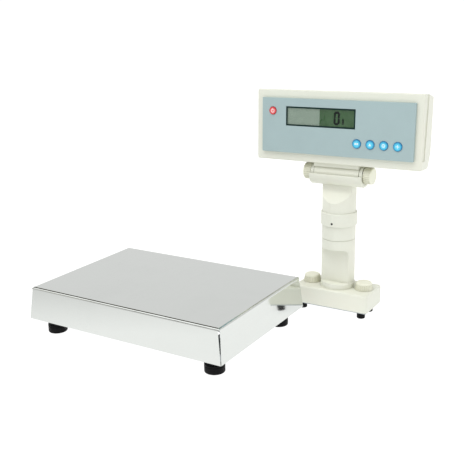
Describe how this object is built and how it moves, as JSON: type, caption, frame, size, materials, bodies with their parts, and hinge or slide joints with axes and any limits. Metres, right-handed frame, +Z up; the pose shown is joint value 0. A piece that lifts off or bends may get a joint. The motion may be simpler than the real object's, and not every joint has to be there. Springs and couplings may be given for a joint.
{
  "type": "weighing scale with column display",
  "caption": "Bench weighing scale: folded steel pan on levelling feet, with a swivelling, tilting display head and push keys on a plastic column behind one corner.",
  "frame": {"origin": "floor point under the middle of the outline of the whole scale", "axes": "+X along the long side of the pan, to the right as the display is read; +Y from the reader towards the back; +Z up"},
  "size_m": [0.5304, 0.364, 0.3701],
  "materials": {
    "stainless": "satin brushed sheet",
    "zinc_steel": "zinc plated",
    "frame_paint": "satin powder coat",
    "cast_alu": "as cast",
    "cell_alu": "machined",
    "black_rubber": "matte",
    "cream_plastic": "fine moulded grain",
    "cream_knob": "moulded, ribbed",
    "panel_film": "satin printed film",
    "lcd_glass": "grey-green liquid crystal",
    "lens_clear": "clear",
    "dark_metal": "black pressed frame",
    "board_green": "solder mask",
    "dark_plastic": "moulded",
    "red_key": "moulded",
    "blue_key": "moulded",
    "level_plastic": "tinted",
    "battery_wrap": "shrink wrap",
    "lead_grey": "flexible sheath"
  },
  "bodies": {
    "scale_base": {"base_frame": "frame_paint", "platter_pads": "black_rubber", "platter_spider": "cast_alu", "load_cell": "cell_alu", "cell_spacers": "cell_alu", "cell_bolts": "zinc_steel", "overload_stops": "zinc_steel", "foot_nuts": "zinc_steel", "bubble_level": "level_plastic", "support_arm": "frame_paint", "arm_spacers": "zinc_steel", "arm_screws": "zinc_steel", "signal_lead": "lead_grey", "base_housing": "cream_plastic", "base_cover": "cream_plastic", "base_screws": "zinc_steel", "base_feet": "black_rubber", "power_inlet": "dark_plastic", "column_lower": "cream_plastic", "column_collar": "cream_plastic", "collar_screw": "dark_metal"},
    "platter": {"platter_pan": "stainless"},
    "swivel_column": {"column_upper": "cream_plastic", "hinge_cradle": "cream_plastic", "tilt_shaft": "zinc_steel", "tilt_washers": "dark_plastic"},
    "display_head": {"head_knuckle": "cream_plastic", "knuckle_screws": "zinc_steel", "head_bezel": "cream_plastic", "front_panel": "panel_film", "lcd_lens": "lens_clear", "lcd_frame": "dark_metal", "lcd_module": "lcd_glass", "main_board": "board_green", "tact_switches": "dark_plastic", "board_screws": "zinc_steel", "head_rear": "cream_plastic", "head_screws": "zinc_steel", "battery_pack": "battery_wrap"},
    "battery_hatch": {"battery_door": "cream_plastic"},
    "foot_fl": {"foot_pad_fl": "black_rubber", "foot_stud_fl": "zinc_steel"},
    "foot_fr": {"foot_pad_fr": "black_rubber", "foot_stud_fr": "zinc_steel"},
    "foot_rl": {"foot_pad_rl": "black_rubber", "foot_stud_rl": "zinc_steel"},
    "foot_rr": {"foot_pad_rr": "black_rubber", "foot_stud_rr": "zinc_steel"},
    "clamp_knob_left": {"base_knob_left": "cream_knob", "knob_stud_left": "zinc_steel"},
    "tilt_grip_left": {"tilt_knob_left": "cream_knob"},
    "clamp_knob_right": {"base_knob_right": "cream_knob", "knob_stud_right": "zinc_steel"},
    "tilt_grip_right": {"tilt_knob_right": "cream_knob"},
    "power_button": {"key_power": "red_key"},
    "button_1": {"key_1": "blue_key"},
    "button_2": {"key_2": "blue_key"},
    "button_3": {"key_3": "blue_key"},
    "button_4": {"key_4": "blue_key"}
  },
  "joints": [
    {"name": "platter_lift", "type": "slide", "parent": "scale_base", "child": "platter", "axis": [0, 0, 1], "range_m": [0, 0.06]},
    {"name": "foot_height_fl", "type": "slide", "parent": "scale_base", "child": "foot_fl", "axis": [0, 0, -1], "range_m": [-0.003, 0.008]},
    {"name": "foot_height_fr", "type": "slide", "parent": "scale_base", "child": "foot_fr", "axis": [0, 0, -1], "range_m": [-0.003, 0.008]},
    {"name": "foot_height_rl", "type": "slide", "parent": "scale_base", "child": "foot_rl", "axis": [0, 0, -1], "range_m": [-0.003, 0.008]},
    {"name": "foot_height_rr", "type": "slide", "parent": "scale_base", "child": "foot_rr", "axis": [0, 0, -1], "range_m": [-0.003, 0.008]},
    {"name": "clamp_turn_left", "type": "hinge", "parent": "scale_base", "child": "clamp_knob_left", "pos_m": [0.07715, 0.14797, 0.0444], "axis": [0, 0, 1], "continuous": true},
    {"name": "clamp_turn_right", "type": "hinge", "parent": "scale_base", "child": "clamp_knob_right", "pos_m": [0.17115, 0.14797, 0.0444], "axis": [0, 0, 1], "continuous": true},
    {"name": "column_swivel", "type": "hinge", "parent": "scale_base", "child": "swivel_column", "pos_m": [0.12415, 0.14797, 0.1628], "axis": [0, 0, 1], "range_deg": [-162, 162]},
    {"name": "head_tilt", "type": "hinge", "parent": "swivel_column", "child": "display_head", "pos_m": [0.12415, 0.14527, 0.2372], "axis": [-1, 0, 0], "range_deg": [-20, 40]},
    {"name": "tilt_grip_turn_left", "type": "hinge", "parent": "swivel_column", "child": "tilt_grip_left", "pos_m": [0.07875, 0.14527, 0.2372], "axis": [1, 0, 0], "continuous": true},
    {"name": "tilt_grip_turn_right", "type": "hinge", "parent": "swivel_column", "child": "tilt_grip_right", "pos_m": [0.16955, 0.14527, 0.2372], "axis": [1, 0, 0], "continuous": true},
    {"name": "power_press", "type": "slide", "parent": "display_head", "child": "power_button", "axis": [0, 0.9996, -0.0297], "range_m": [0, 0.0008], "stiffness_N_per_m": 1500, "springref_m": -0.0004},
    {"name": "press_1", "type": "slide", "parent": "display_head", "child": "button_1", "axis": [0, 0.9996, -0.0297], "range_m": [0, 0.0008], "stiffness_N_per_m": 1500, "springref_m": -0.0004},
    {"name": "press_2", "type": "slide", "parent": "display_head", "child": "button_2", "axis": [0, 0.9996, -0.0297], "range_m": [0, 0.0008], "stiffness_N_per_m": 1500, "springref_m": -0.0004},
    {"name": "press_3", "type": "slide", "parent": "display_head", "child": "button_3", "axis": [0, 0.9996, -0.0297], "range_m": [0, 0.0008], "stiffness_N_per_m": 1500, "springref_m": -0.0004},
    {"name": "press_4", "type": "slide", "parent": "display_head", "child": "button_4", "axis": [0, 0.9996, -0.0297], "range_m": [0, 0.0008], "stiffness_N_per_m": 1500, "springref_m": -0.0004},
    {"name": "hatch_pull", "type": "slide", "parent": "display_head", "child": "battery_hatch", "axis": [0, 0.9996, -0.0297], "range_m": [0, 0.02]}
  ]
}
